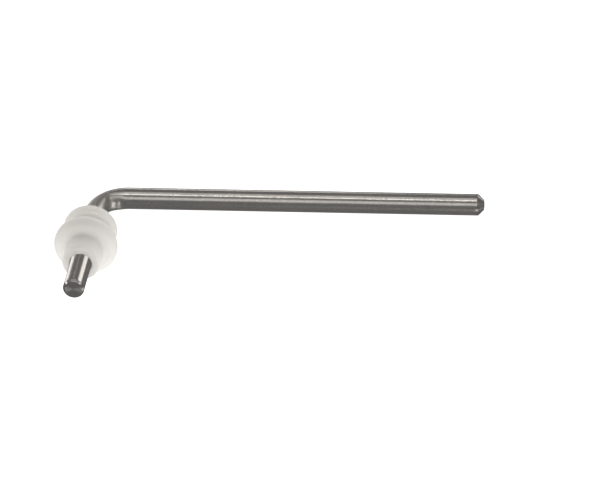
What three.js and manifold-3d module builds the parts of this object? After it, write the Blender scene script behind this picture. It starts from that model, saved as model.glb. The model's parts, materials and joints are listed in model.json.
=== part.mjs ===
// Flame sensor probe: a round steel sensing rod bent into an L, with a stepped ceramic
// insulator held on its short arm by a spring ring and a fill of cement.
//
// The probe is first built flat: the rod's two arms lie in the XY plane and their
// centrelines cross at the origin. The long sensing arm runs along +X and the short
// terminal arm along -Y. The finished group is then leant over onto its insulator, as
// the probe lies on a table, with z = 0 at the table. Millimetres, +Z up.

import * as THREE from 'three';
import { mergeVertices } from 'three/addons/utils/BufferGeometryUtils.js';
import Module from 'manifold-3d';

const wasm = await Module();
wasm.setup();

// ---- Driving dimensions ----------------------------------------------------------

const rod = {
  radius: 4.76 / 2, // 3/16 inch bar
  sensingArm: 85.3, // crossing of the centrelines to the sensing tip
  terminalArm: 38.4, // crossing of the centrelines to the terminal tip
  bendRadius: 6.6, // of the centreline
  sensingChamfer: 1.25,
  terminalChamfer: 0.45,
};

// The inside of the bend is tighter than an arc, and swells a little on both sides of the pin.
const bendInside = { squareness: 4, swelling: 0.15 };

// The pin that the rod was bent round has pressed a mark into the inside. The pin stands
// up from the bending plate, and ends a little above the rod's middle.
const bendingPin = { radius: 3.05, offset: 5.12, top: 0.7, length: 12 };

const insulator = {
  tipToFront: 10.65, // from the terminal tip to the insulator's front face
  length: 15.2,
  neckRadius: 4.25,
  neckRounding: 0.5,
  neckFillet: 0.7,
  bulbRadius: 7.07,
  bulbRounding: 2.05,
  bulbFront: 5.75, // measured, as the groove is, from the front face
  grooveWidth: 2.9,
  grooveRadius: 4.6,
  collarRadius: 5.95,
  collarRounding: 0.5,
  pocketRadius: 3.8, // the pocket in the rear face holds the ring and the cement
  pocketDepth: 2.7,
};

const ring = { outerRadius: 3.45, thickness: 0.6, gapAngle: Math.PI / 5 };
const ringSeatRadius = 1.85; // floor of the groove turned in the rod for the ring
const cementRecess = 0.2; // the cement stops this far below the rear face
const clearance = 0.25; // between neighbouring pieces

const sidesAroundRod = 32;
const sidesAroundInsulator = 48;
const stepsRoundBend = 16;
const sidesAroundPin = 64;
const stepsRoundCorner = 5;
const weldDistance = 1e-4; // points of a mesh this close together are one point

// ---- Places along the probe -------------------------------------------------------

// From the insulator's front face.
const bulbMiddle = insulator.bulbFront + insulator.bulbRounding;
const grooveFront = bulbMiddle + insulator.bulbRounding;
const grooveBack = grooveFront + insulator.grooveWidth;

// From the terminal tip, along the straight rod.
const bendStart = rod.terminalArm - rod.bendRadius;
const bendEnd = bendStart + rod.bendRadius * Math.PI / 2;
const rodLength = bendEnd + rod.sensingArm - rod.bendRadius;
const insulatorRear = insulator.tipToFront + insulator.length;
const pocketFloor = insulatorRear - insulator.pocketDepth;
const ringFront = pocketFloor + clearance;
const ringBack = ringFront + ring.thickness;

// ---- Materials -------------------------------------------------------------------

const drawnSteel = new THREE.MeshStandardMaterial({ color: 0x9a9793, roughness: 0.35, metalness: 1 });
const whiteCeramic = new THREE.MeshStandardMaterial({ color: 0xeeebe4, roughness: 0.55, metalness: 0 });
const springSteel = new THREE.MeshStandardMaterial({ color: 0x6f7175, roughness: 0.4, metalness: 1 });
const cementGrey = new THREE.MeshStandardMaterial({ color: 0xd9d4c8, roughness: 0.9, metalness: 0 });

// ---- Helpers ---------------------------------------------------------------------

/** A 2-D profile point: distance from the axis, then distance along it. */
function at(radius, along) {
  return new THREE.Vector2(radius, along);
}

/** Profile points round an arc. Its ends are directions in quarter turns, 0 being outward. */
function arc(centre, rounding, fromQuarter, toQuarter) {
  const steps = stepsRoundCorner * Math.abs(toQuarter - fromQuarter);
  const points = [];
  for (let step = 0; step <= steps; step += 1) {
    const angle = THREE.MathUtils.lerp(fromQuarter, toQuarter, step / steps) * Math.PI / 2;
    points.push(at(centre.x + rounding * Math.cos(angle), centre.y + rounding * Math.sin(angle)));
  }
  return points;
}

/** Turns a profile about the Y axis. */
function turned(profile, sides) {
  return new THREE.LatheGeometry(profile, sides);
}

/** A closed geometry as a solid that can be cut. */
function toSolid(geometry) {
  const bare = geometry.clone();
  bare.deleteAttribute('normal');
  bare.deleteAttribute('uv');
  const merged = mergeVertices(bare, weldDistance);
  return new wasm.Manifold(new wasm.Mesh({
    numProp: 3,
    vertProperties: new Float32Array(merged.attributes.position.array),
    triVerts: new Uint32Array(merged.index.array),
  }));
}

/** A cut solid back as a geometry. */
function toGeometry(solid) {
  const mesh = solid.getMesh();
  const geometry = new THREE.BufferGeometry();
  geometry.setAttribute('position', new THREE.BufferAttribute(mesh.vertProperties, 3));
  geometry.setIndex(new THREE.BufferAttribute(mesh.triVerts, 1));
  geometry.computeVertexNormals();
  return geometry;
}

/** Puts a piece that was turned about Y, from y = 0 at the terminal tip, on the short arm. */
function onTerminalArm(name, geometry, material) {
  const mesh = new THREE.Mesh(geometry, material);
  mesh.name = name;
  mesh.position.y = -rod.terminalArm;
  return mesh;
}

// ---- Sensing rod -----------------------------------------------------------------

/** The rod's profile while it is still straight: chamfered ends and the ring's groove. */
function straightRodProfile() {
  const { radius, terminalChamfer, sensingChamfer } = rod;
  const profile = [
    at(0, 0),
    at(radius - terminalChamfer, 0),
    at(radius, terminalChamfer),
    at(radius, ringFront - clearance),
    at(ringSeatRadius, ringFront - clearance),
    at(ringSeatRadius, ringBack + clearance),
    at(radius, ringBack + clearance),
  ];
  for (let step = 0; step <= stepsRoundBend; step += 1) {
    profile.push(at(radius, THREE.MathUtils.lerp(bendStart, bendEnd, step / stepsRoundBend)));
  }
  profile.push(at(radius, rodLength - sensingChamfer));
  profile.push(at(radius - sensingChamfer, rodLength));
  profile.push(at(0, rodLength));
  return profile;
}

/** Where a point of the straight rod goes once the rod is bent round to +X. */
function bentPoint(inward, along, upward) {
  if (along <= bendStart) {
    return new THREE.Vector3(inward, along - rod.terminalArm, upward);
  }
  if (along >= bendEnd) {
    return new THREE.Vector3(rod.bendRadius + along - bendEnd, -inward, upward);
  }
  const turn = (along - bendStart) / rod.bendRadius;
  const { squareness, swelling } = bendInside;
  const roundness = Math.cos(turn) ** squareness + Math.sin(turn) ** squareness;
  const tightened = (rod.bendRadius - rod.radius) / roundness ** (1 / squareness);
  const inner = Math.max(inward, 0) / rod.radius;
  const reach = rod.bendRadius - Math.min(inward, 0) - inner * (rod.bendRadius - tightened);
  return new THREE.Vector3(
    rod.bendRadius - reach * Math.cos(turn),
    -rod.bendRadius + reach * Math.sin(turn),
    upward * (1 + inner ** 2 * swelling * Math.sin(4 * turn) ** 2),
  );
}

/** Bends a straight turned bar by moving each of its vertices. */
function bent(geometry) {
  const position = geometry.attributes.position;
  for (let index = 0; index < position.count; index += 1) {
    const point = bentPoint(position.getX(index), position.getY(index), position.getZ(index));
    position.setXYZ(index, point.x, point.y, point.z);
  }
  return geometry;
}

/** The pin stands square to the two arms, inside the bend. */
function bendingPinSolid() {
  const { radius, offset, top, length } = bendingPin;
  const pin = new THREE.CylinderGeometry(radius, radius, length, sidesAroundPin);
  pin.rotateX(Math.PI / 2);
  pin.translate(offset, -offset, top - length / 2);
  return toSolid(pin);
}

function makeSensingRod() {
  const bar = toSolid(bent(turned(straightRodProfile(), sidesAroundRod)));
  const mesh = new THREE.Mesh(toGeometry(bar.subtract(bendingPinSolid())), drawnSteel);
  mesh.name = 'sensing_rod';
  return mesh;
}

// ---- Insulator -------------------------------------------------------------------

/** Neck, bulb, bracket groove and collar outside; bore and pocket inside. */
function insulatorProfile() {
  const { neckRounding, neckFillet, bulbRounding, collarRounding, pocketRadius, length } = insulator;
  const bore = rod.radius + clearance;
  const pocketAt = length - insulator.pocketDepth;
  const neckCorner = at(insulator.neckRadius - neckRounding, neckRounding);
  const neckRoot = at(insulator.neckRadius + neckFillet, insulator.bulbFront - neckFillet);
  const bulbCore = at(insulator.bulbRadius - bulbRounding, bulbMiddle);
  const collarCore = insulator.collarRadius - collarRounding;
  return [
    at(bore, 0),
    ...arc(neckCorner, neckRounding, -1, 0),
    ...arc(neckRoot, neckFillet, 2, 1),
    ...arc(bulbCore, bulbRounding, -1, 1),
    at(insulator.grooveRadius, grooveFront),
    at(insulator.grooveRadius, grooveBack),
    ...arc(at(collarCore, grooveBack + collarRounding), collarRounding, -1, 0),
    ...arc(at(collarCore, length - collarRounding), collarRounding, 0, 1),
    at(pocketRadius, length),
    at(pocketRadius, pocketAt),
    at(bore, pocketAt),
    at(bore, 0),
  ];
}

function makeInsulator() {
  const body = turned(insulatorProfile(), sidesAroundInsulator);
  body.translate(0, insulator.tipToFront, 0);
  return onTerminalArm('insulator', body, whiteCeramic);
}

// ---- What holds the insulator ----------------------------------------------------

/** An open spring ring that snaps into the rod's groove and stops the rod sliding forward. */
function makeRetainingRing() {
  const seat = ringSeatRadius + clearance;
  const start = ring.gapAngle / 2;
  const end = Math.PI * 2 - start;
  const outline = new THREE.Shape();
  outline.absarc(0, 0, ring.outerRadius, start, end, false);
  outline.absarc(0, 0, seat, end, start, true);
  outline.closePath();
  const body = new THREE.ExtrudeGeometry(outline, {
    depth: ring.thickness,
    bevelEnabled: false,
    curveSegments: sidesAroundRod,
  });
  body.rotateX(-Math.PI / 2);
  body.translate(0, ringFront, 0);
  return onTerminalArm('retaining_ring', body, springSteel);
}

/** A ring of ceramic cement that closes the pocket behind the spring ring. */
function makeCementFill() {
  const inner = rod.radius + clearance;
  const outer = insulator.pocketRadius - clearance;
  const front = ringBack + clearance;
  const back = insulatorRear - cementRecess;
  const body = turned([
    at(inner, front),
    at(outer, front),
    at(outer, back),
    at(inner, back),
    at(inner, front),
  ], sidesAroundRod);
  return onTerminalArm('cement_fill', body, cementGrey);
}

// ---- Assembly --------------------------------------------------------------------

/** The lean at which a rounded rim of the insulator and the whole long arm touch the table. */
function leanOnto(rimRadius, rounding, tipToRim) {
  const core = rimRadius - rounding;
  const reach = rod.terminalArm - tipToRim;
  return Math.atan2(core, reach) - Math.asin((rod.radius - rounding) / Math.hypot(core, reach));
}

/** The probe comes to rest on the rim that holds it up the most. */
function restingLean() {
  const tipToBulb = insulator.tipToFront + bulbMiddle;
  const tipToCollar = insulatorRear - insulator.collarRounding;
  return Math.max(
    leanOnto(insulator.bulbRadius, insulator.bulbRounding, tipToBulb),
    leanOnto(insulator.collarRadius, insulator.collarRounding, tipToCollar),
  );
}

const flatProbe = new THREE.Group();
flatProbe.add(makeSensingRod(), makeInsulator(), makeRetainingRing(), makeCementFill());
flatProbe.rotation.x = -restingLean();

const probe = new THREE.Group();
probe.add(flatProbe);
probe.updateMatrixWorld(true);

// The origin is the middle of the footprint, on the table.
const box = new THREE.Box3().setFromObject(probe, true);
const middle = box.getCenter(new THREE.Vector3());
probe.position.set(-middle.x, -middle.y, -box.min.z);

export default probe;
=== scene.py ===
import json
import math

import bmesh
import bpy
from mathutils import Matrix, Vector, noise


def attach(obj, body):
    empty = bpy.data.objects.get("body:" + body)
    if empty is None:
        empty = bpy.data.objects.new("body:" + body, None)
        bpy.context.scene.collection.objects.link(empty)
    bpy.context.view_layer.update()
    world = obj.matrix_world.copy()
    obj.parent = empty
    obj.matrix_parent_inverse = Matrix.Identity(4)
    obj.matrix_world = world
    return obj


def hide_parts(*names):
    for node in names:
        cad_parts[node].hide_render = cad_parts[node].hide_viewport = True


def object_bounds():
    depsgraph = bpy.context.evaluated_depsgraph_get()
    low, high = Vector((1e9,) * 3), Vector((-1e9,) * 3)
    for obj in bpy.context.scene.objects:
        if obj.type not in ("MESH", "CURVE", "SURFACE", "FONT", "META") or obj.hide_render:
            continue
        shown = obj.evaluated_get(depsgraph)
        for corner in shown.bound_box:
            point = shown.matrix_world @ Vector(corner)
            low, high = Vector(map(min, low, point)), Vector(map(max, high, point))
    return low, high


# A flame sensor probe on a white table: a steel rod bent into an L, and the white ceramic
# insulator on its short arm, which a spring ring and a fill of cement hold.

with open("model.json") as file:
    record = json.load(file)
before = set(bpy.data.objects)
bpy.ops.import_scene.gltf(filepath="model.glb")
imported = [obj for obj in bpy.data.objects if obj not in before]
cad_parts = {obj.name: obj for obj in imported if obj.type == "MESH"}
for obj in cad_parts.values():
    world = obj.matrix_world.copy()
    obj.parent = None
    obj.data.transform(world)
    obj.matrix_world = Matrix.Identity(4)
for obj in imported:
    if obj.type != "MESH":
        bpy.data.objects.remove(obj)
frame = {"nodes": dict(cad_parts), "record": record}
cad_low, cad_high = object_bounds()

# ---- Dimensions, in metres, as in the CAD source -----------------------------------

MM = 0.001
ROD_RADIUS = 2.38 * MM
SENSING_CHAMFER = 1.25 * MM
TERMINAL_CHAMFER = 0.45 * MM
BEND_RADIUS = 6.6 * MM  # of the centreline
SQUARENESS = 4  # of the bend's inner outline, where 2 would be an arc
SWELLING = 0.15  # of the bend's inner side, as a share of its thickness
PIN_RADIUS = 3.05 * MM  # the pin that the bar was bent round, which left its mark
PIN_OFFSET = 5.12 * MM
PIN_TOP = 0.7 * MM
PIN_LIP = 0.15 * MM  # over which the mark's upper edge is rounded
RING_SEAT_RADIUS = 1.85 * MM
RING_THICKNESS = 0.6 * MM

TIP_TO_INSULATOR = 10.65 * MM
INSULATOR_LENGTH = 15.2 * MM
NECK_RADIUS = 4.25 * MM
NECK_ROUNDING = 0.5 * MM
NECK_FILLET = 0.7 * MM
BULB_RADIUS = 7.07 * MM
BULB_ROUNDING = 2.05 * MM
BULB_FRONT = 5.75 * MM
GROOVE_WIDTH = 2.9 * MM
GROOVE_RADIUS = 4.6 * MM
COLLAR_RADIUS = 5.95 * MM
COLLAR_ROUNDING = 0.5 * MM
POCKET_RADIUS = 3.8 * MM
POCKET_DEPTH = 2.7 * MM
CEMENT_RECESS = 0.2 * MM
CLEARANCE = 0.25 * MM

# What is finer here than in the CAD.
GROOVE_FILLET = 0.8 * MM
MOUTH_ROUNDING = 0.15 * MM  # at the mouths of the bore and of the pocket
BORE_FIT = 0.09 * MM  # the bore's real play round the rod
CEMENT_SKIN = 0.02 * MM  # the cement all but touches the rod and the pocket's wall
SKIN = 0.012 * MM  # the smooth surfaces stay this far inside the CAD's facets

# ---- Where the arms lie ------------------------------------------------------------


def mount(name):
    """A mount's point and outward direction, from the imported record."""
    for entry in frame["record"]["mounts"]:
        if entry["name"] == name:
            return Vector(entry["pos_m"]), Vector(entry["axis"])
    raise ValueError(name)


TERMINAL_TIP, TERMINAL_AXIS = mount("terminal_end")
SENSING_TIP, SENSING_AXIS = mount("sensing_end")
TERMINAL_ARM = (TERMINAL_TIP - SENSING_TIP).dot(TERMINAL_AXIS)
CORNER = TERMINAL_TIP - TERMINAL_AXIS * TERMINAL_ARM
SENSING_ARM = (SENSING_TIP - CORNER).dot(SENSING_AXIS)
FLAT_UP = TERMINAL_AXIS.cross(SENSING_AXIS).normalized()

# The probe as it lay flat: the long arm along X, the short arm along -Y.
FLAT = Matrix((SENSING_AXIS, -TERMINAL_AXIS, FLAT_UP)).transposed().to_4x4()
FLAT.translation = CORNER

BEND_START = TERMINAL_ARM - BEND_RADIUS
BEND_END = BEND_START + BEND_RADIUS * math.pi / 2
ROD_LENGTH = BEND_END + SENSING_ARM - BEND_RADIUS
INSULATOR_REAR = TIP_TO_INSULATOR + INSULATOR_LENGTH
POCKET_FLOOR = INSULATOR_REAR - POCKET_DEPTH

# ---- Mesh helpers ------------------------------------------------------------------

ON_AXIS = 1e-9  # a ring of a smaller radius is one point


def spread(start, end, steps):
    """Evenly spaced values from start to end, both included."""
    return [start + (end - start) * step / steps for step in range(steps + 1)]


def rounded(centre_radius, centre_along, rounding, first, last, steps=12):
    """Profile points round an arc, in quarter turns: 0 is outward and 1 along the rod."""
    points = []
    for quarter in spread(first, last, steps):
        angle = quarter * math.pi / 2
        points.append((
            centre_radius + rounding * math.cos(angle),
            centre_along + rounding * math.sin(angle),
        ))
    return points


def subdivided(profile, longest):
    """The profile with every long step cut into equal short ones."""
    points = [profile[0]]
    for before, after in zip(profile, profile[1:]):
        cuts = max(1, math.ceil(math.dist(before, after) / longest))
        radii = spread(before[0], after[0], cuts)
        alongs = spread(before[1], after[1], cuts)
        points.extend(zip(radii[1:-1], alongs[1:-1]))
        points.append(after)
    return points


def turned_mesh(name, profile, sides, place):
    """Turns a profile of (radius, along) pairs; place puts a straight point in the frame.

    A profile that starts and ends on the axis closes on itself there, and any other one
    repeats its first point at its end. Two things are kept for the materials: each
    vertex's straight point, and UVs of turns round the axis and metres along the profile.
    """
    mesh = bpy.data.meshes.new(name)
    build = bmesh.new()
    straight = build.verts.layers.float_vector.new("straight")
    around = build.loops.layers.uv.new("around_along")
    closed = profile[0] == profile[-1]
    rings = []
    for radius, along in profile[:-1] if closed else profile:
        ring = []
        for point in ring_points(radius, along, sides):
            vertex = build.verts.new(place(point))
            vertex[straight] = point
            ring.append(vertex)
        rings.append(ring)
    if closed:
        rings.append(rings[0])
    travelled = 0.0
    for step in range(len(profile) - 1):
        reached = travelled + math.dist(profile[step], profile[step + 1])
        for side in range(sides):
            corners = ring_corners(rings[step], rings[step + 1], side)
            face = build.faces.new([vertex for vertex, _, _ in corners])
            face.smooth = True
            for loop, (_, turn, on_b) in zip(face.loops, corners):
                loop[around].uv = (turn / sides, reached if on_b else travelled)
        travelled = reached
    build.normal_update()
    build.to_mesh(mesh)
    build.free()
    made = bpy.data.objects.new(name, mesh)
    bpy.context.scene.collection.objects.link(made)
    return made


def ring_points(radius, along, sides):
    """The points of one turn round the axis, or the single point on it."""
    if radius < ON_AXIS:
        return [Vector((0, along, 0))]
    angles = [2 * math.pi * side / sides for side in range(sides)]
    return [Vector((radius * math.cos(angle), along, radius * math.sin(angle))) for angle in angles]


def ring_corners(ring_a, ring_b, side):
    """The corners of one face between two rings, as (vertex, turn, lies on ring b)."""
    following = side + 1
    corners = []
    if len(ring_a) == 1:
        corners.append((ring_a[0], side + 0.5, False))
    else:
        corners.append((ring_a[following % len(ring_a)], following, False))
        corners.append((ring_a[side], side, False))
    if len(ring_b) == 1:
        corners.append((ring_b[0], side + 0.5, True))
    else:
        corners.append((ring_b[side], side, True))
        corners.append((ring_b[following % len(ring_b)], following, True))
    return corners


def on_terminal_arm(point):
    """A straight point, y from the terminal tip, in the frame."""
    return FLAT @ (point - Vector((0, TERMINAL_ARM, 0)))


# ---- Material helpers --------------------------------------------------------------


def new_material(name):
    """A material with an empty Principled surface, and its tree."""
    material = bpy.data.materials.new(name)
    material.use_nodes = True
    tree = material.node_tree
    return material, tree, tree.nodes["Principled BSDF"]


def add(tree, kind, inputs=None, **settings):
    """Adds a node. Inputs are sockets to link, or plain values."""
    made = tree.nodes.new(kind)
    for key, value in settings.items():
        setattr(made, key, value)
    for key, value in (inputs or {}).items():
        if isinstance(value, bpy.types.NodeSocket):
            tree.links.new(value, made.inputs[key])
        else:
            made.inputs[key].default_value = value
    return made


def straight_place(tree):
    """Where a surface point lay on the straight piece, before it was bent and placed."""
    return add(tree, "ShaderNodeAttribute", attribute_name="straight").outputs["Vector"]


def straight_noise(tree, across, along, detail, roughness=0.55):
    """Noise in the straight piece: features this long across and along it, in metres."""
    stretched = add(tree, "ShaderNodeVectorMath", {
        0: straight_place(tree),
        1: (1 / across, 1 / along, 1 / across),
    }, operation="MULTIPLY").outputs["Vector"]
    return add(tree, "ShaderNodeTexNoise", {
        "Vector": stretched,
        "Scale": 1.0,
        "Detail": detail,
        "Roughness": roughness,
    }).outputs["Fac"]


def between(tree, fac, low, high, start=0.3, end=0.7):
    """Maps a factor's middle range to low..high."""
    return add(tree, "ShaderNodeMapRange", {
        "Value": fac,
        "From Min": start,
        "From Max": end,
        "To Min": low,
        "To Max": high,
    }).outputs["Result"]


def colours(tree, fac, stops):
    """A colour ramp with (place, rgb) stops."""
    ramp = add(tree, "ShaderNodeValToRGB", {"Fac": fac})
    elements = ramp.color_ramp.elements
    while len(elements) < len(stops):
        elements.new(0.5)
    for element, (place, rgb) in zip(elements, stops):
        element.position = place
        element.color = (*rgb, 1.0)
    return ramp.outputs["Color"]


def calculated(tree, operation, first, second):
    """Two values added or multiplied."""
    return add(tree, "ShaderNodeMath", {0: first, 1: second}, operation=operation).outputs["Value"]


def mixed(tree, fac, base, over):
    """One colour, with another laid over it by a factor. Colours are sockets or rgba."""
    return add(tree, "ShaderNodeMix", {
        "Factor": fac,
        "A": base,
        "B": over,
    }, data_type="RGBA").outputs["Result"]


def bumped(tree, surface, heights):
    """Adds bumps from (height, depth in metres) pairs, coarse ones first."""
    normal = None
    for height, depth in heights:
        inputs = {"Height": height, "Distance": depth, "Strength": 1.0}
        if normal is not None:
            inputs["Normal"] = normal
        normal = add(tree, "ShaderNodeBump", inputs).outputs["Normal"]
    tree.links.new(normal, surface.inputs["Normal"])


# ---- Materials ---------------------------------------------------------------------


def drawn_steel():
    """Satin bar: fine lengthwise marks, small pits, faint stains, and a rougher bend."""
    material, tree, surface = new_material("drawn_steel")
    streaks = straight_noise(tree, across=0.2 * MM, along=6 * MM, detail=3.0)
    pits = straight_noise(tree, across=0.3 * MM, along=0.45 * MM, detail=3.0, roughness=0.7)
    stains = straight_noise(tree, across=3 * MM, along=14 * MM, detail=5.0)
    steel = colours(tree, stains, [(0.3, (0.58, 0.565, 0.545)), (0.7, (0.68, 0.66, 0.63))])
    streaked = between(tree, streaks, 0.0, 0.25)
    drawn = mixed(tree, streaked, steel, (0.42, 0.41, 0.40, 1.0))
    pitted = between(tree, pits, 0.0, 0.5, start=0.45, end=0.75)
    worn = mixed(tree, pitted, drawn, (0.38, 0.37, 0.35, 1.0))
    tree.links.new(worn, surface.inputs["Base Color"])
    satin = between(tree, pits, 0.18, 0.26)
    stretched = calculated(tree, "MULTIPLY", in_the_bend(tree), between(tree, pits, 0.13, 0.25))
    tree.links.new(calculated(tree, "ADD", satin, stretched), surface.inputs["Roughness"])
    surface.inputs["Metallic"].default_value = 1.0
    bumped(tree, surface, [(streaks, 0.0015 * MM), (pits, 0.006 * MM)])
    return material


def in_the_bend(tree):
    """1 where the bend has stretched the bar and left it rougher, 0 along the arms."""
    along = add(tree, "ShaderNodeSeparateXYZ", {"Vector": straight_place(tree)}).outputs["Y"]
    arc = BEND_END - BEND_START
    rise_from = BEND_START - 0.6 * arc
    fall_from = BEND_START + 0.55 * arc
    begun = between(tree, along, 0.0, 1.0, rise_from, BEND_START)
    ended = between(tree, along, 1.0, 0.0, fall_from, BEND_END)
    return calculated(tree, "MULTIPLY", begun, ended)


def turned_steel():
    """A rod's end as parted off in a lathe: fine rings that spread light across them."""
    material, tree, surface = new_material("turned_steel")
    ring_width = 0.07 * MM
    split = add(tree, "ShaderNodeSeparateXYZ", {"Vector": straight_place(tree)})
    across = add(tree, "ShaderNodeCombineXYZ", {
        "X": split.outputs["X"],
        "Y": split.outputs["Z"],
    }).outputs["Vector"]
    radius = add(tree, "ShaderNodeVectorMath", {0: across}, operation="LENGTH").outputs["Value"]
    rings = add(tree, "ShaderNodeTexNoise", {
        "W": radius,
        "Scale": 1 / ring_width,
        "Detail": 3.0,
    }, noise_dimensions="1D").outputs["Fac"]
    steel = colours(tree, rings, [(0.3, (0.42, 0.41, 0.40)), (0.7, (0.60, 0.585, 0.565))])
    tree.links.new(steel, surface.inputs["Base Color"])
    tree.links.new(between(tree, rings, 0.22, 0.30), surface.inputs["Roughness"])
    surface.inputs["Metallic"].default_value = 1.0
    surface.inputs["Anisotropic"].default_value = 0.85
    surface.inputs["Anisotropic Rotation"].default_value = 0.25
    tangent = add(tree, "ShaderNodeTangent", direction_type="UV_MAP", uv_map="around_along")
    tree.links.new(tangent.outputs["Tangent"], surface.inputs["Tangent"])
    bumped(tree, surface, [(rings, 0.002 * MM)])
    return material


def white_ceramic():
    """Unglazed dense ceramic: matt, slightly translucent, with fine grain and grey specks."""
    material, tree, surface = new_material("white_ceramic")
    clouds = straight_noise(tree, across=2.5 * MM, along=2.5 * MM, detail=5.0)
    grain = straight_noise(tree, across=0.28 * MM, along=0.28 * MM, detail=3.0, roughness=0.7)
    specks = straight_noise(tree, across=0.3 * MM, along=0.3 * MM, detail=1.0)
    body = colours(tree, clouds, [(0.3, (0.90, 0.885, 0.86)), (0.7, (0.93, 0.92, 0.90))])
    grained = between(tree, grain, 0.0, 0.22)
    grainy = mixed(tree, grained, body, (0.70, 0.68, 0.65, 1.0))
    specked = between(tree, specks, 0.0, 0.35, start=0.70, end=0.80)
    fired = mixed(tree, specked, grainy, (0.62, 0.60, 0.56, 1.0))
    tree.links.new(fired, surface.inputs["Base Color"])
    tree.links.new(between(tree, grain, 0.48, 0.62), surface.inputs["Roughness"])
    surface.inputs["Specular IOR Level"].default_value = 0.4
    surface.inputs["Subsurface Weight"].default_value = 0.3
    surface.inputs["Subsurface Radius"].default_value = (1.0, 0.9, 0.75)
    surface.inputs["Subsurface Scale"].default_value = 0.8 * MM
    bumped(tree, surface, [(clouds, 0.01 * MM), (grain, 0.008 * MM)])
    return material


def ceramic_cement():
    """Dry cement: chalky, with trowel unevenness and open pores."""
    material, tree, surface = new_material("ceramic_cement")
    clouds = straight_noise(tree, across=1.2 * MM, along=1.2 * MM, detail=6.0)
    pores = straight_noise(tree, across=0.25 * MM, along=0.25 * MM, detail=3.0)
    body = colours(tree, clouds, [(0.25, (0.62, 0.59, 0.53)), (0.75, (0.78, 0.755, 0.70))])
    tree.links.new(body, surface.inputs["Base Color"])
    tree.links.new(between(tree, pores, 0.8, 0.95), surface.inputs["Roughness"])
    bumped(tree, surface, [(clouds, 0.05 * MM), (pores, 0.03 * MM)])
    return material


def spring_steel():
    """Blued spring steel, for the ring inside the pocket."""
    material, tree, surface = new_material("spring_steel")
    patch_size = 1.5 * MM
    patches = add(tree, "ShaderNodeTexNoise", {
        "Vector": add(tree, "ShaderNodeTexCoord").outputs["Object"],
        "Scale": 1 / patch_size,
        "Detail": 4.0,
    }).outputs["Fac"]
    blued = colours(tree, patches, [(0.3, (0.17, 0.18, 0.22)), (0.7, (0.30, 0.30, 0.33))])
    tree.links.new(blued, surface.inputs["Base Color"])
    tree.links.new(between(tree, patches, 0.3, 0.45), surface.inputs["Roughness"])
    surface.inputs["Metallic"].default_value = 1.0
    bumped(tree, surface, [(patches, 0.005 * MM)])
    return material


# ---- Sensing rod -------------------------------------------------------------------


def bent_point(point):
    """Where a point of the straight rod goes once the rod is bent, in the flat probe.

    The bend's inner side runs on a squarer outline, and swells on both sides of the pin.
    """
    inward, along, upward = point
    if along <= BEND_START:
        return Vector((inward, along - TERMINAL_ARM, upward))
    if along >= BEND_END:
        return Vector((BEND_RADIUS + along - BEND_END, -inward, upward))
    turn = (along - BEND_START) / BEND_RADIUS
    roundness = math.cos(turn) ** SQUARENESS + math.sin(turn) ** SQUARENESS
    tightened = (BEND_RADIUS - ROD_RADIUS) / roundness ** (1 / SQUARENESS)
    inner = max(inward, 0) / ROD_RADIUS
    reach = BEND_RADIUS - min(inward, 0) - inner * (BEND_RADIUS - tightened)
    return Vector((
        BEND_RADIUS - reach * math.cos(turn),
        -BEND_RADIUS + reach * math.sin(turn),
        upward * (1 + inner ** 2 * SWELLING * math.sin(4 * turn) ** 2),
    ))


def pressed_point(point):
    """A point of the flat probe, pushed back to the pin's surface if the pin pressed it."""
    centre = Vector((PIN_OFFSET, -PIN_OFFSET))
    away = point.xy - centre
    depth = PIN_RADIUS - away.length
    if depth <= 0 or point.z >= PIN_TOP:
        return point
    eased = min(1, (PIN_TOP - point.z) / PIN_LIP)
    pushed = point.xy + away.normalized() * depth * eased
    return Vector((pushed.x, pushed.y, point.z))


def on_rod(point):
    """A point of the straight rod in the frame."""
    return FLAT @ pressed_point(bent_point(point))


def end_profile(chamfer, dish, edge):
    """From the axis out over a rod's end: a faint dish, and a chamfer with soft edges."""
    surface = ROD_RADIUS - SKIN
    face_radius = surface - chamfer
    half = 0.5 * edge  # where a soft edge turns: this far along it
    sunk = 0.2 * edge  # and this far below it
    dished = [
        (radius, dish * (1 - (radius / face_radius) ** 2) + SKIN)
        for radius in spread(0.0, face_radius - edge, 14)
    ]
    slope_radii = spread(face_radius + edge, surface - edge, 6)
    slope_alongs = spread(edge, chamfer - edge, 6)
    return [
        *dished,
        (face_radius + half, SKIN + sunk),
        *zip(slope_radii, slope_alongs),
        (surface - sunk, chamfer - half),
        (surface, chamfer + edge),
    ]


def bar_profile(start, end, steps):
    """The bar's own surface, from one place along it to another."""
    return [(ROD_RADIUS - SKIN, along) for along in spread(start, end, steps)]


def rod_profile():
    """The straight rod: turned ends, the ring's groove, and fine steps for the bend."""
    terminal = end_profile(TERMINAL_CHAMFER, dish=0.03 * MM, edge=0.06 * MM)
    sensing = end_profile(SENSING_CHAMFER, dish=0.03 * MM, edge=0.08 * MM)
    terminal_bar = terminal[-1][1]
    sensing_bar = ROD_LENGTH - sensing[-1][1]
    groove_front = POCKET_FLOOR
    groove_back = groove_front + RING_THICKNESS + 2 * CLEARANCE
    fine_start = BEND_START - MM
    fine_end = BEND_END + MM
    return [
        *terminal,
        *bar_profile(terminal_bar, groove_front, 40)[1:],
        (RING_SEAT_RADIUS, groove_front),
        (RING_SEAT_RADIUS, groove_back),
        *bar_profile(groove_back, fine_start, 12),
        *bar_profile(fine_start, fine_end, 120)[1:],
        *bar_profile(fine_end, sensing_bar, 120)[1:],
        *((radius, ROD_LENGTH - inset) for radius, inset in reversed(sensing[:-1])),
    ]


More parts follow.
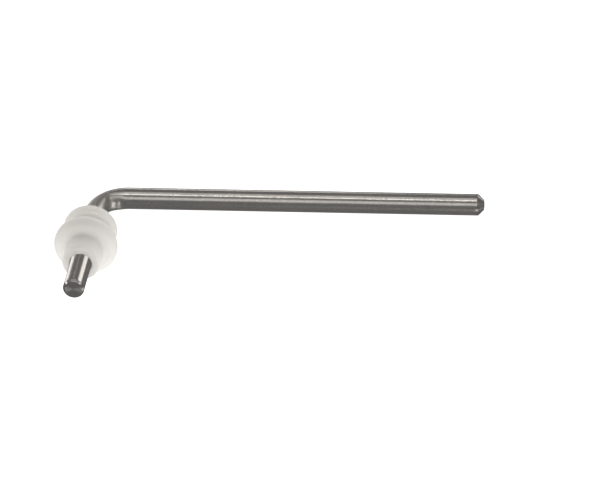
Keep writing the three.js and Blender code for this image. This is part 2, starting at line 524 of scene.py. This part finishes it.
def make_sensing_rod(steel, turned):
    """The bent bar in drawn steel, with turned steel on its two chamfered ends."""
    rod = turned_mesh("sensing_rod_bar", rod_profile(), 128, on_rod)
    rod.data.materials.append(steel)
    rod.data.materials.append(turned)
    straight = rod.data.attributes["straight"].data
    for polygon in rod.data.polygons:
        corners = [straight[index].vector.y for index in polygon.vertices]
        along = sum(corners) / len(corners)
        at_end = along < TERMINAL_CHAMFER or along > ROD_LENGTH - SENSING_CHAMFER
        polygon.material_index = 1 if at_end else 0
    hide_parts("sensing_rod")
    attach(rod, "root")


# ---- Insulator ---------------------------------------------------------------------


def insulator_profile():
    """Neck, bulb, bracket groove and collar outside; bore and pocket inside."""
    bore = ROD_RADIUS + BORE_FIT
    bulb_core = BULB_RADIUS - BULB_ROUNDING - SKIN
    bulb_middle = BULB_FRONT + BULB_ROUNDING
    groove_front = bulb_middle + BULB_ROUNDING
    groove_back = groove_front + GROOVE_WIDTH
    collar_core = COLLAR_RADIUS - COLLAR_ROUNDING - SKIN
    groove_core = GROOVE_RADIUS + GROOVE_FILLET
    pocket_floor = INSULATOR_LENGTH - POCKET_DEPTH
    mouth = MOUTH_ROUNDING
    outline = [
        *rounded(bore + mouth, mouth, mouth, 2, 3, steps=4),
        *rounded(NECK_RADIUS - NECK_ROUNDING - SKIN, NECK_ROUNDING, NECK_ROUNDING, -1, 0),
        *rounded(NECK_RADIUS + NECK_FILLET, BULB_FRONT - NECK_FILLET, NECK_FILLET, 2, 1),
        *rounded(bulb_core, bulb_middle, BULB_ROUNDING, -1, 1, steps=36),
        *rounded(groove_core, groove_front + GROOVE_FILLET, GROOVE_FILLET, -1, -2),
        *rounded(groove_core, groove_back - GROOVE_FILLET, GROOVE_FILLET, 2, 1),
        *rounded(collar_core, groove_back + COLLAR_ROUNDING, COLLAR_ROUNDING, -1, 0),
        *rounded(collar_core, INSULATOR_LENGTH - COLLAR_ROUNDING, COLLAR_ROUNDING, 0, 1),
        *rounded(POCKET_RADIUS + mouth, INSULATOR_LENGTH - mouth, mouth, 1, 2, steps=4),
        (POCKET_RADIUS, pocket_floor),
        (bore, pocket_floor),
    ]
    closed = subdivided([*outline, outline[0]], longest=0.4 * MM)
    return [(radius, along + TIP_TO_INSULATOR) for radius, along in closed]


def as_fired(point):
    """Ceramic shrinks a little unevenly in the kiln, so no surface is quite true."""
    wave = 4 * MM
    depth = 0.02 * MM
    sway = noise.noise(point / wave) * depth
    outward = Vector((point.x, 0, point.z)).normalized()
    return on_terminal_arm(point + outward * (sway - depth))


def make_insulator(ceramic):
    """The one ceramic piece. It is kept out of the steel's reflections."""
    insulator = turned_mesh("insulator_body", insulator_profile(), 144, as_fired)
    insulator.data.materials.append(ceramic)
    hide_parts("insulator")
    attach(insulator, "root")
    insulator.visible_glossy = False


# ---- What holds the insulator ------------------------------------------------------


def cement_profile():
    """A ring whose open face sags between the rod and the pocket's wall."""
    inner = ROD_RADIUS + CEMENT_SKIN
    outer = POCKET_RADIUS - CEMENT_SKIN
    front = POCKET_FLOOR + RING_THICKNESS + 2 * CLEARANCE
    back = INSULATOR_REAR - CEMENT_RECESS
    sag = 0.18 * MM
    steps = 12
    open_face = [
        (radius, back - sag * math.sin(math.pi * step / steps))
        for step, radius in enumerate(spread(outer, inner, steps))
    ]
    outline = [(inner, front), (outer, front), *open_face]
    return subdivided([*outline, outline[0]], longest=0.15 * MM)


def lumpy(point):
    """Cement filled in by hand is uneven along the rod, never above its level."""
    lump = 0.7 * MM
    depth = 0.05 * MM
    sway = noise.noise(point / lump) * depth
    return on_terminal_arm(point + Vector((0, sway - depth, 0)))


def make_cement(cement):
    """The fill that closes the pocket behind the ring."""
    fill = turned_mesh("cement_cast", cement_profile(), 96, lumpy)
    fill.data.materials.append(cement)
    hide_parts("cement_fill")
    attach(fill, "root")


def finish_retaining_ring(steel):
    """The ring's CAD shape is right: it only gets its material and eased edges."""
    ring = frame["nodes"]["retaining_ring"]
    ring.data.materials.clear()
    ring.data.materials.append(steel)
    ease = ring.modifiers.new("eased_edges", "BEVEL")
    ease.width = 0.04 * MM
    ease.segments = 2
    ease.limit_method = "ANGLE"


# ---- Stage, light and camera -------------------------------------------------------

CENTRE = (cad_low + cad_high) / 2
TABLE_RADIUS = 3.0
TABLE_GAP = 0.02 * MM
LAMP_DISTANCE = 1.0
LAMP_TINT = (1.0, 0.97, 0.93)
CAMERA_DISTANCE = 2.5
CAMERA_AZIMUTH = 12.12  # in degrees, as the elevation and roll are
CAMERA_ELEVATION = 46.05
CAMERA_ROLL = -7.68
VIEW_WIDTH = 132.0 * MM  # what the picture's width spans at the probe
VIEW_MIDDLE = Vector((44.09 * MM, -9.31 * MM, 0))  # from the rod's corner, right and up


def compass(azimuth, elevation):
    """The direction to a point round the probe: azimuth 0 is -Y, 90 is +X, in degrees."""
    turn = math.radians(azimuth)
    rise = math.radians(elevation)
    level = Vector((math.sin(turn), -math.cos(turn), 0))
    return level * math.cos(rise) + Vector((0, 0, math.sin(rise)))


def make_table():
    """A plain white table. It shines a little, as a light table does, so it stays white."""
    mesh = bpy.data.meshes.new("table")
    build = bmesh.new()
    bmesh.ops.create_circle(build, cap_ends=True, segments=96, radius=TABLE_RADIUS)
    build.to_mesh(mesh)
    build.free()
    table = bpy.data.objects.new("table", mesh)
    table.location.z = cad_low.z - TABLE_GAP
    material, tree, surface = new_material("table_white")
    surface.inputs["Base Color"].default_value = (0.9, 0.9, 0.9, 1.0)
    surface.inputs["Roughness"].default_value = 1.0
    surface.inputs["Emission Color"].default_value = (1.0, 1.0, 1.0, 1.0)
    seen = add(tree, "ShaderNodeLightPath").outputs["Is Camera Ray"]
    glow = between(tree, seen, 0.7, 0.9, start=0.0, end=1.0)
    tree.links.new(glow, surface.inputs["Emission Strength"])
    mesh.materials.append(material)
    bpy.context.scene.collection.objects.link(table)
    table.visible_glossy = False
    table.visible_shadow = False


def make_softbox(name, azimuth, elevation, along, length, width, radiance, seen_by):
    """A flat lamp whose length lies along an arm. Its length and width are angles."""
    data = bpy.data.lights.new(name, "AREA")
    data.shape = "RECTANGLE"
    data.size = 2 * LAMP_DISTANCE * math.tan(math.radians(length) / 2)
    data.size_y = 2 * LAMP_DISTANCE * math.tan(math.radians(width) / 2)
    data.energy = radiance * math.pi * data.size * data.size_y
    data.color = LAMP_TINT
    lamp = bpy.data.objects.new(name, data)
    back = compass(azimuth, elevation)
    lengthwise = (along - along.project(back)).normalized()
    turn = Matrix((lengthwise, back.cross(lengthwise), back)).transposed().to_4x4()
    lamp.matrix_world = Matrix.Translation(CENTRE + back * LAMP_DISTANCE) @ turn
    lamp.visible_camera = False
    lamp.visible_diffuse = seen_by == "matt"
    lamp.visible_glossy = seen_by == "metal"
    bpy.context.scene.collection.objects.link(lamp)


def light_the_studio():
    """Lamps for the steel, which draw its bands and edges, and keys for all that is matt."""
    lamps_for_metal = (
        # name, azimuth, elevation, the arm it lies along, length, width, radiance
        ("front_panel", 0, 48, SENSING_AXIS, 74, 26, 0.66),
        ("roof_strip", -90, 89, SENSING_AXIS, 44, 6, 3.1),
        ("roof_edge", 179, 72, SENSING_AXIS, 46, 18, 0.6),
        ("back_strip", -170, 6, SENSING_AXIS, 7, 13, 1.6),
        ("left_card", -147, -17, TERMINAL_AXIS, 30, 26, 1.25),
        ("right_card", 153, 5, TERMINAL_AXIS, 26, 22, 1.4),
        ("mark_card", 5, -17, SENSING_AXIS, 6, 14, 3.2),
        ("corner_card", 49, -23, SENSING_AXIS, 15, 20, 3.4),
        ("tip_left", -78, 19, TERMINAL_AXIS, 24, 16, 2.4),
        ("tip_right", 66, 31, TERMINAL_AXIS, 16, 16, 2.4),
    )
    lamps_for_matt = (
        ("right_key", 82, -14, TERMINAL_AXIS, 70, 60, 0.8),
        ("left_key", -80, -4, TERMINAL_AXIS, 70, 60, 0.6),
        ("back_key", 178, 20, SENSING_AXIS, 80, 34, 1.6),
        ("front_key", 0, 42, SENSING_AXIS, 44, 44, 1.2),
    )
    for lamp in lamps_for_metal:
        make_softbox(*lamp, seen_by="metal")
    for lamp in lamps_for_matt:
        make_softbox(*lamp, seen_by="matt")


def make_world():
    """White to the camera, even and soft to matt surfaces, dim to the metal."""
    even = (0.33, 0.325, 0.32, 1.0)
    dim = (0.19, 0.188, 0.186, 1.0)
    white = (1.2, 1.2, 1.2, 1.0)
    world = bpy.data.worlds.new("studio")
    world.use_nodes = True
    bpy.context.scene.world = world
    tree = world.node_tree
    rays = add(tree, "ShaderNodeLightPath")
    lighting = mixed(tree, rays.outputs["Is Glossy Ray"], even, dim)
    seen = mixed(tree, rays.outputs["Is Camera Ray"], lighting, white)
    tree.links.new(seen, tree.nodes["Background"].inputs["Color"])
    world.cycles.sampling_method = "NONE"


def make_camera():
    """A long lens from the front right, above the table, rolled as the picture is."""
    data = bpy.data.cameras.new("camera")
    data.sensor_width = 36.0
    data.lens = data.sensor_width * CAMERA_DISTANCE / VIEW_WIDTH
    data.clip_end = 20.0
    camera = bpy.data.objects.new("camera", data)
    back = compass(CAMERA_AZIMUTH, CAMERA_ELEVATION)
    level = (-back).to_track_quat("-Z", "Y").to_matrix().to_4x4()
    turn = level @ Matrix.Rotation(math.radians(CAMERA_ROLL), 4, "Z")
    aim = CORNER + turn.to_3x3() @ VIEW_MIDDLE
    camera.matrix_world = Matrix.Translation(aim + back * CAMERA_DISTANCE) @ turn
    bpy.context.scene.collection.objects.link(camera)
    bpy.context.scene.camera = camera


# ---- The scene ---------------------------------------------------------------------

make_sensing_rod(drawn_steel(), turned_steel())
make_insulator(white_ceramic())
make_cement(ceramic_cement())
finish_retaining_ring(spring_steel())
make_table()
light_the_studio()
make_world()
make_camera()
bpy.context.scene.view_settings.view_transform = "Standard"
